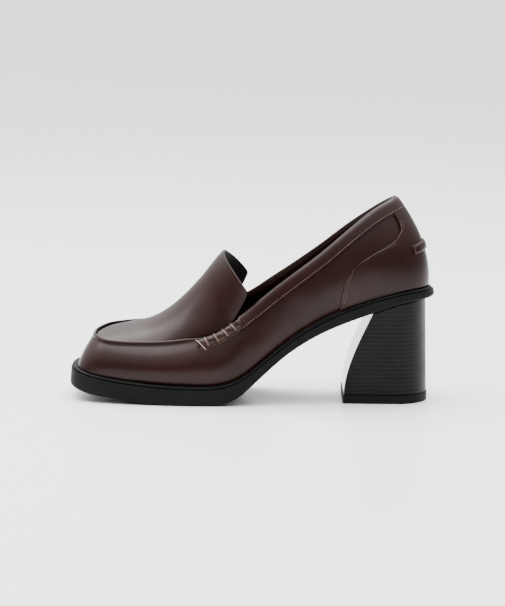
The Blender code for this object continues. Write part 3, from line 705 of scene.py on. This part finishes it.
# Each step is a share of the stitch's length, a lift and a thickness, both in radii of the thread.
STITCH_SHAPE = ((-0.5, -0.6, 0.55), (-0.34, 0.25, 0.9), (0.0, 0.62, 1.0), (0.34, 0.25, 0.9),
                (0.5, -0.6, 0.55))
STITCH_GAP = 0.20
THREAD_SIDES = 6
# Near-black stub in each pinhole, which paints the shade inside the hole.
HOLE_SIZE = 0.00030
HOLE_RISE, HOLE_NARROW = 0.28, 0.8


def sew(name, rows, pitch, radius, thread):
    """Rows of stitches in one piece, and their pinholes in another: near-black stubs that paint the shade
    inside each hole.
    """
    points, faces, hole_points, hole_faces = [], [], [], []
    for row in rows:
        places = evenly(row, pitch)
        for before, after in zip(places, places[1:]):
            centre = (before.point + after.point) / 2
            along = after.point - before.point
            normal = (before.normal + after.normal).normalized()
            length = along.length * (1 - STITCH_GAP)
            along.normalize()
            path, sizes = [], []
            for share, lift, size in STITCH_SHAPE:
                path.append(centre + along * length * share + normal * radius * lift)
                sizes.append(radius * size)
            faces += tube(points, path, [normal] * len(path), sizes, sizes, THREAD_SIDES)
            # A near-black stub here paints the shade inside the pinhole.
            hole = before.point
            ends = [hole - normal * HOLE_SIZE, hole + normal * HOLE_SIZE * HOLE_RISE]
            widths, heights = [HOLE_SIZE * HOLE_NARROW] * 2, [HOLE_SIZE] * 2
            hole_faces += tube(hole_points, ends, [along] * 2, widths, heights, THREAD_SIDES)
    joined(name, points, faces, [thread], "upper_leather")
    joined(name + "_pinhole_shade", hole_points, hole_faces, [dark_thread_and_painted_shade], "upper_leather")


# %% Sew the collar band
CLEAR_OF_UPPER = 0.0008
FOOT_LOOKS_DOWN = -0.35
FACE_LOOKS_OUT = 0.3


def outer_foot(edge):
    """Whether an edge is the lower outer edge of the collar band."""
    if not sharp_edge(edge):
        return False
    narrow, wide = sorted(edge.link_faces, key=lambda face: face.calc_area())
    middle = (edge.verts[0].co + edge.verts[1].co) / 2
    clear = upper_tree.find_nearest(middle)[3] > CLEAR_OF_UPPER
    below = narrow.normal.z < FOOT_LOOKS_DOWN
    return clear and below and wide.normal.dot(away(middle)) > FACE_LOOKS_OUT


def sew_band():
    """One row around the foot of the band."""
    foot = runs_along(welded("collar_band"), outer_foot)[0]
    print("band foot:", len(foot), "places")
    row = laid(foot, tree_of(band), inset=0.0010)
    sew("band_stitches", [row], pitch=0.0021, radius=0.00020, thread=brown_thread)


sew_band()

# %% Sew the counter and the tab
wall_tree = BVHTree.FromBMesh(welded("upper"))
COUNTER_OFF = 0.0008
TAB_OFF = 0.0020
CLEAR_OF_BAND = 0.0014
CLEAR_OF_WELT = 0.0040


def outer_loop(node, apart):
    """Border of a plate's outer face, whose corners all stand further off the wall than a distance."""
    shape = welded(node)
    off = set()
    for face in shape.faces:
        if all(wall_tree.find_nearest(corner.co)[3] > apart for corner in face.verts):
            off.add(face.index)

    def border(edge):
        return len({face.index in off for face in edge.link_faces}) == 2

    return runs_along(shape, border)[0]


def sew_counter():
    """Two rows along both front edges of the counter; the outer row, close to the edge, also paints the
    edge's pale highlight.
    """
    above, below = tree_of(band), tree_of(welt)

    def free(rim):
        if above.find_nearest(rim.point)[3] <= CLEAR_OF_BAND:
            return False
        return below.find_nearest(rim.point)[3] > CLEAR_OF_WELT

    sides = parts_that(outer_loop("counter", COUNTER_OFF), free)[:2]
    tree = tree_of(counter)
    print("counter fronts:", [len(part) for part in sides])
    # The outer row at 0.7 mm also paints the pale highlight along the counter's edge.
    for name, inset in (("counter_stitches_and_edge_highlight", 0.0007), ("counter_stitches_inner", 0.0023)):
        rows = [laid(part, tree, inset) for part in sides]
        sew(name, rows, pitch=0.0019, radius=0.00017, thread=brown_thread)


def sew_tab():
    """One row around the tab."""
    loop = laid(outer_loop("heel_tab", TAB_OFF), tree_of(tab), inset=0.0009)
    print("tab:", len(loop), "places")
    sew("tab_stitches", [loop + loop[:1]], pitch=0.0017, radius=0.00015, thread=brown_thread)


sew_counter()
sew_tab()

# %% Sew the moccasin seam
SEAM_OUT, SEAM_DOWN = 0.0029, 0.0013
ROLL_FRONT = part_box("seam_roll_outer")[0].x
BEFORE_ROLL = 0.001


def sew_seam():
    """Near-black row of stitches in the groove at the foot of the raised moccasin seam, up to the rolls; the
    dark thread also paints the groove's shade.
    """
    loops = runs_along(welded("apron_tongue"), sharp_edge)[:2]
    loop = max(loops, key=lambda run: sum(rim.point.z for rim in run))
    seam = parts_that(loop, lambda rim: rim.point.x < ROLL_FRONT - BEFORE_ROLL)[0]
    row = []
    for rim in seam:
        outward = -Vector((rim.inward.x, rim.inward.y, 0.0)).normalized()
        wanted = rim.point + outward * SEAM_OUT - Vector((0, 0, SEAM_DOWN))
        spot, normal, _, _ = upper_tree.find_nearest(wanted)
        row.append(Rim(spot, normal if normal.dot(outward) > 0 else -normal, rim.inward))
    print("moccasin seam:", len(row), "places")
    # Near-black thread: stitches that also paint the shade in the groove.
    sew("moccasin_seam_and_groove_shade", [row], pitch=0.0030, radius=0.00024, thread=dark_thread_and_painted_shade)


sew_seam()

# %% [markdown]
# Beside the throat the moccasin seam ends in a roll: a strip of leather stuffed with cord, tied down by
# narrow thongs that come over the seam and dive into holes in the strip's flat foot. Between two thongs the
# roll swells. The strip starts at the top border of its solid and goes down the finished wall by the solid's
# width, as a grid that is evened out. At its rear end it rounds off and rises over the band. Its thickness
# is worked out from where a place lies along and across the strip.

# %% Height of the roll
ROLL_ALONG, ROLL_ACROSS = 72, 18
ROLL_BULGE = 0.0021
ROLL_FOOT = 0.00055
FOOT_SHARE = 0.26
END_STEEPNESS = 3.6
EDGE_STEEPNESS, EDGE_END_STEEPNESS = 9, 30
EDGE_THIN = 0.25
THONGS = (0.17, 0.37, 0.57, 0.77)
PINCH_WIDTH = 0.035
PINCH_DEPTH = 0.45


def roll_height(along, across):
    """Height of the roll over the wall, at shares along and across the strip."""
    fullness = min(1.0, END_STEEPNESS * min(along, 1 - along)) ** 0.5
    pinch = 1 - PINCH_DEPTH * max(math.exp(-((along - start) / PINCH_WIDTH) ** 2) for start in THONGS)
    over = across / (1 - FOOT_SHARE)
    bulge = math.sqrt(max(0.0, 1 - (2 * over - 1) ** 2)) if over < 1 else 0.0
    to_end = EDGE_END_STEEPNESS * min(along, 1 - along)
    edge = min(1.0, (1 - across) * EDGE_STEEPNESS, to_end) ** 0.5
    foot = ROLL_FOOT * (EDGE_THIN + (1 - EDGE_THIN) * edge)
    return foot + ROLL_BULGE * bulge * fullness * pinch


# %% The strip of wall under a roll
BORDER_PITCH, LINE_PITCH = 0.0005, 0.0002
LOOK_AROUND = 12
STRIP_OVERLAP = 0.0030
STRIP_LIFT = 0.0014
LIFT_START, LIFT_LENGTH = 0.80, 0.14
CORNER_SHARE = 0.16
CORNER_WIDTH = 0.35
CAST_FROM, CAST_LENGTH = 0.006, 0.02
EVEN_ROUNDS = 8
STRIP_GAP = 0.0003
STRIP_UNDERSIDE = 0.00015


class Strip:
    """The strip of wall that one roll covers: a smooth grid of places and normals on the upper."""

    def __init__(self, node):
        upper_line, lower_line = long_sides(runs_along(welded(node), sharp_edge)[0])
        self.top = evenly(upper_line, BORDER_PITCH)
        middle = self.top[len(self.top) // 2].point
        self.widest = min((rim.point - middle).length for rim in evenly(lower_line, BORDER_PITCH))
        behind = (self.top[-1].point - self.top[-4].point).normalized() * STRIP_OVERLAP
        self.top.append(Rim(self.top[-1].point + behind, self.top[-1].normal, self.top[-1].inward))
        self.measure()

    @staticmethod
    def way_down(line, index):
        """Direction down the wall, square to the border."""
        after, before = min(index + LOOK_AROUND, len(line) - 1), max(index - LOOK_AROUND, 0)
        ahead = line[after].point - line[before].point
        down = ahead.cross(away(line[index].point)).normalized()
        return down if down.z < 0 else -down

    def measure(self):
        """Drop the grid onto the upper and even it out."""
        line = evenly(self.top, LINE_PITCH)
        spots = np.zeros((ROLL_ALONG + 1, ROLL_ACROSS + 1, 3))
        normals = np.zeros_like(spots)
        for row in range(ROLL_ALONG + 1):
            along = row / ROLL_ALONG
            corner = max(0.0, (along - 1 + CORNER_SHARE) / CORNER_SHARE)
            rounded = CORNER_WIDTH + (1 - CORNER_WIDTH) * math.sqrt(1 - corner * corner)
            index = round(along * (len(line) - 1))
            down = self.way_down(line, index)
            for column in range(ROLL_ACROSS + 1):
                point = line[index].point + down * self.widest * rounded * column / ROLL_ACROSS
                outward = away(point)
                above = point + outward * CAST_FROM
                spot, normal, _, _ = upper_tree.ray_cast(above, -outward, CAST_LENGTH)
                if spot is None:
                    spot, normal, _, _ = upper_tree.find_nearest(point)
                spots[row, column] = spot
                normals[row, column] = normal if normal.dot(outward) > 0 else -normal
        for _ in range(EVEN_ROUNDS):
            spots, normals = self.evened(spots), self.evened(normals)
        self.spots = spots
        self.normals = normals / np.linalg.norm(normals, axis=2)[:, :, None]

    @staticmethod
    def evened(grid):
        """Grid whose inner places moved halfway to the mean of their neighbours."""
        result = grid.copy()
        beside = grid[2:, 1:-1] + grid[:-2, 1:-1] + grid[1:-1, 2:] + grid[1:-1, :-2]
        result[1:-1, 1:-1] = grid[1:-1, 1:-1] / 2 + beside / 8
        for edge in (0, -1):
            result[1:-1, edge] = grid[1:-1, edge] / 2 + (grid[2:, edge] + grid[:-2, edge]) / 4
        return result

    def on_wall(self, along, across):
        """Place and normal on the wall, read between the grid's places."""
        row = min(max(along, 0.0), 1.0) * ROLL_ALONG
        column = min(max(across, 0.0), 1.0) * ROLL_ACROSS
        low_row, low_column = min(int(row), ROLL_ALONG - 1), min(int(column), ROLL_ACROSS - 1)
        down, right = row - low_row, column - low_column
        found = []
        for grid in (self.spots, self.normals):
            near = grid[low_row:low_row + 2, low_column:low_column + 2]
            left_side = near[0, 0] * (1 - down) + near[1, 0] * down
            right_side = near[0, 1] * (1 - down) + near[1, 1] * down
            found.append(Vector(left_side * (1 - right) + right_side * right))
        return found[0], found[1].normalized()

    def lift(self, along):
        """How far the strip rises to pass over the front end of the collar band."""
        share = min(1.0, max(0.0, (along - LIFT_START) / LIFT_LENGTH))
        return STRIP_LIFT * share * share * (3 - 2 * share)

    def over(self, along, across, extra=0.0):
        """Place on the roll's own surface, or an extra height above it."""
        spot, normal = self.on_wall(along, across)
        height = roll_height(along, across) + self.lift(along) + STRIP_GAP + extra
        return spot + normal * height, normal


# %% The roll
def face_outwards(mesh):
    """Turn all faces of a closed mesh outwards."""
    shape = bmesh.new()
    shape.from_mesh(mesh)
    bmesh.ops.recalc_face_normals(shape, faces=shape.faces)
    shape.to_mesh(mesh)
    shape.free()


def make_roll(strip, node, name):
    """The stuffed strip: its surface, its underside and the border that closes them."""
    columns = ROLL_ACROSS + 1
    surface, underside, faces = [], [], []
    for row in range(ROLL_ALONG + 1):
        for column in range(columns):
            along, across = row / ROLL_ALONG, column / ROLL_ACROSS
            surface.append(strip.over(along, across)[0])
            spot, normal = strip.on_wall(along, across)
            underside.append(spot + normal * STRIP_UNDERSIDE)
    size = len(surface)
    for row in range(ROLL_ALONG):
        for column in range(ROLL_ACROSS):
            corner = row * columns + column
            face = (corner, corner + 1, corner + columns + 1, corner + columns)
            faces.append(face)
            faces.append(tuple(index + size for index in reversed(face)))
    border = list(range(columns)) + [row * columns + ROLL_ACROSS for row in range(1, ROLL_ALONG + 1)]
    border += [ROLL_ALONG * columns + column for column in range(ROLL_ACROSS - 1, -1, -1)]
    border += [row * columns for row in range(ROLL_ALONG - 1, 0, -1)]
    for index, corner in enumerate(border):
        beside = border[(index + 1) % len(border)]
        faces.append((corner, corner + size, beside + size, beside))
    piece = joined(name, surface + underside, faces, [strip_leather], "seam_leather")
    face_outwards(piece.data)
    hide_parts(node)


# %% Thongs over the roll
THONG_WIDTH, THONG_HEIGHT = 0.00075, 0.00042
THONG_LEAN = 0.045
THONG_STEPS = 14
THONG_START, THONG_PAST_FOOT = -0.06, 0.10
THONG_SUNK = 0.35
THONG_TUCK, THONG_TUCK_RISE = 0.0012, 0.0003
THONG_TAPER = (0.8, 0.5)
# Near-black stub at each thong's end, which paints the shade inside its hole.
TIE_HOLE_SIZE = 0.00062
TIE_HOLE_ACROSS = 1.0 - FOOT_SHARE + 0.06
TIE_HOLE_LIFT = 0.00004
TIE_HOLE_DEPTH, TIE_HOLE_RISE = 0.0004, 0.00006


def make_thongs(strip, name):
    """Narrow thongs over the roll, each ending in a hole in the strip's foot, where a near-black stub paints
    the shade inside the hole.
    """
    points, faces, hole_points, hole_faces = [], [], [], []
    for start in THONGS:
        path, ups = [], []
        for step in range(THONG_STEPS + 1):
            share = step / THONG_STEPS
            across = THONG_START + (1.0 - FOOT_SHARE + THONG_PAST_FOOT) * share
            spot, normal = strip.over(start + THONG_LEAN * share, across, THONG_HEIGHT * THONG_SUNK)
            if step == 0:
                spot = spot + Vector((0, 0, THONG_TUCK_RISE)) - away(spot) * THONG_TUCK
            path.append(spot)
            ups.append(normal)
        path.append(path[-1] - ups[-1] * THONG_TUCK)
        ups.append(ups[-1])
        widths = [THONG_WIDTH] * (len(path) - 2) + [THONG_WIDTH * taper for taper in THONG_TAPER]
        faces += tube(points, path, ups, widths, [THONG_HEIGHT] * len(path))
        # Near-black stub that paints the shade inside the tie hole.
        spot, normal = strip.over(start + THONG_LEAN, TIE_HOLE_ACROSS, TIE_HOLE_LIFT)
        along = (path[3] - path[2]).normalized()
        ends, sizes = [spot - normal * TIE_HOLE_DEPTH, spot + normal * TIE_HOLE_RISE], [TIE_HOLE_SIZE] * 2
        hole_faces += tube(hole_points, ends, [along] * 2, sizes, sizes)
    joined(name + "_thongs", points, faces, [thong], "seam_leather")
    joined(name + "_hole_shade", hole_points, hole_faces, [dark_thread_and_painted_shade], "seam_leather")


# %% The pale stitch
PALE_STITCH_LEAN = 0.13
PALE_STITCH_LIFT = 0.00045
PALE_STITCH_STEPS = 10
PALE_STITCH_RADIUS = 0.00027
# How far each end runs on past the strip, and how deep it dives.
PALE_TOP_ON, PALE_TOP_DIVE = 0.0012, 0.0009
PALE_FOOT_ON, PALE_FOOT_DIVE = 0.0008, 0.0012


def make_pale_stitch(strip, name):
    """The single pale stitch that ties down the strip's toe end and leans back on its way down."""
    path, ups = [], []
    for step in range(PALE_STITCH_STEPS + 1):
        share = step / PALE_STITCH_STEPS
        spot, normal = strip.over(PALE_STITCH_LEAN * share, share, PALE_STITCH_LIFT)
        path.append(spot)
        ups.append(normal)
    rise = (path[0] - path[1]).normalized()
    path.insert(0, path[0] + rise * PALE_TOP_ON - ups[0] * PALE_TOP_DIVE)
    path.append(path[-1] - rise * PALE_FOOT_ON - ups[-1] * PALE_FOOT_DIVE)
    ups = ups[:1] + ups + ups[-1:]
    points, sizes = [], [PALE_STITCH_RADIUS] * len(path)
    faces = tube(points, path, ups, sizes, sizes)
    joined(name, points, faces, [pale_thread], "seam_leather")


for node, side in (("seam_roll_outer", "outer"), ("seam_roll_inner", "inner")):
    strip = Strip(node)
    make_roll(strip, node, f"roll_{side}")
    make_thongs(strip, f"roll_{side}")
    make_pale_stitch(strip, f"pale_stitch_{side}")

# %% [markdown]
# The studio: a pale glossy table that runs to the horizon, a large soft lamp overhead and a pale room. The
# room is darker on the photographer's side, which is why the leather's side looks deep while everything that
# faces up carries a soft veil.

# %% Floor
TABLE_REACH = 14.0
TABLE_TONE = (0.93, 0.93, 0.93, 1)
TABLE_ROUGH = 0.22
TABLE_SHINE = 0.18


def make_floor():
    """Pale table that mirrors the sole faintly."""
    mesh = bpy.data.meshes.new("pale_table")
    signs = ((-1, -1), (1, -1), (1, 1), (-1, 1))
    mesh.from_pydata([(x * TABLE_REACH, y * TABLE_REACH, 0) for x, y in signs], [], [(0, 1, 2, 3)])
    floor = bpy.data.objects.new("pale_table", mesh)
    bpy.context.scene.collection.objects.link(floor)
    finish = bpy.data.materials.new("pale_table")
    finish.use_nodes = True
    shader = finish.node_tree.nodes["Principled BSDF"]
    shader.inputs["Base Color"].default_value = TABLE_TONE
    shader.inputs["Roughness"].default_value = TABLE_ROUGH
    shader.inputs["Specular IOR Level"].default_value = TABLE_SHINE
    mesh.materials.append(finish)


make_floor()

# %% Room and lamp
# Each gradient runs from one share of a direction to another, and from one brightness to another.
BEHIND = (-0.6, 0.4, 0.26, 1.40)
TO_THE_HEEL = (-0.2, 1.0, 1.0, 0.42)
OVERHEAD = (0.25, 0.95, 0.0, 3.4)
SOFTBOX_PLACE = Vector((-0.30, 0.30, 1.5))
SOFTBOX_AIM = Vector((0, 0, 0.05))
SOFTBOX_WIDTH, SOFTBOX_HEIGHT = 2.2, 1.6
SOFTBOX_WATTS = 72.0


def make_room():
    """Pale surroundings, brighter behind the shoe than on the camera's side."""
    world = bpy.data.worlds.new("studio_room")
    bpy.context.scene.world = world
    world.use_nodes = True
    tree = world.node_tree
    place = add_node(tree, "ShaderNodeTexCoord").outputs["Generated"]
    parts = add_node(tree, "ShaderNodeSeparateXYZ", Vector=place)
    behind = spread(tree, parts.outputs["Y"], *BEHIND)
    right = spread(tree, parts.outputs["X"], *TO_THE_HEEL)
    overhead = spread(tree, parts.outputs["Z"], *OVERHEAD)
    glow = math_node(tree, "ADD", math_node(tree, "MULTIPLY", behind, right), overhead)
    background = tree.nodes["Background"]
    background.inputs["Color"].default_value = (1.0, 1.0, 1.0, 1)
    tree.links.new(glow, background.inputs["Strength"])


def make_lamp():
    """Rectangular soft lamp overhead that looks at the shoe."""
    lamp = bpy.data.lights.new("overhead_softbox", "AREA")
    lamp.shape = "RECTANGLE"
    lamp.size, lamp.size_y = SOFTBOX_WIDTH, SOFTBOX_HEIGHT
    lamp.energy = SOFTBOX_WATTS
    item = bpy.data.objects.new("overhead_softbox", lamp)
    item.location = SOFTBOX_PLACE
    item.rotation_euler = (SOFTBOX_AIM - SOFTBOX_PLACE).to_track_quat("-Z", "Y").to_euler()
    bpy.context.scene.collection.objects.link(item)


make_room()
make_lamp()
print("softbox:", SOFTBOX_WATTS, "W")

# %% [markdown]
# The camera was fitted to the photograph: the outline of the solids, seen from it, covers the shoe in the
# picture. It stands about 1.7 metres away, a little above the shoe, with a long lens.

# %% Camera
CAMERA_DISTANCE = 1.7219
CAMERA_ELEVATION = math.radians(8.2)
CAMERA_AZIMUTH = math.radians(0.1)
CAMERA_ROLL = math.radians(0.6)
CAMERA_TARGET = Vector((-0.00006, 0.0, 0.0637))
PICTURE_HEIGHT = 606
METRES_PER_PIXEL = 0.000681
SENSOR = 36.0


def make_camera():
    """Camera at the photograph's angle."""
    lens = bpy.data.cameras.new("camera")
    lens.sensor_fit = "VERTICAL"
    lens.sensor_height = SENSOR
    lens.lens = SENSOR * CAMERA_DISTANCE / (PICTURE_HEIGHT * METRES_PER_PIXEL)
    camera = bpy.data.objects.new("camera", lens)
    bpy.context.scene.collection.objects.link(camera)
    level = math.cos(CAMERA_ELEVATION)
    back = Vector((math.sin(CAMERA_AZIMUTH) * level, -math.cos(CAMERA_AZIMUTH) * level,
                   math.sin(CAMERA_ELEVATION)))
    right = Vector((math.cos(CAMERA_AZIMUTH), math.sin(CAMERA_AZIMUTH), 0.0))
    up = back.cross(right)
    turned_right = right * math.cos(CAMERA_ROLL) + up * math.sin(CAMERA_ROLL)
    turned_up = up * math.cos(CAMERA_ROLL) - right * math.sin(CAMERA_ROLL)
    turn = Matrix((turned_right, turned_up, back)).transposed().to_4x4()
    camera.matrix_world = Matrix.Translation(CAMERA_TARGET + back * CAMERA_DISTANCE) @ turn
    bpy.context.scene.camera = camera
    print("lens in mm:", round(lens.lens, 1))


make_camera()
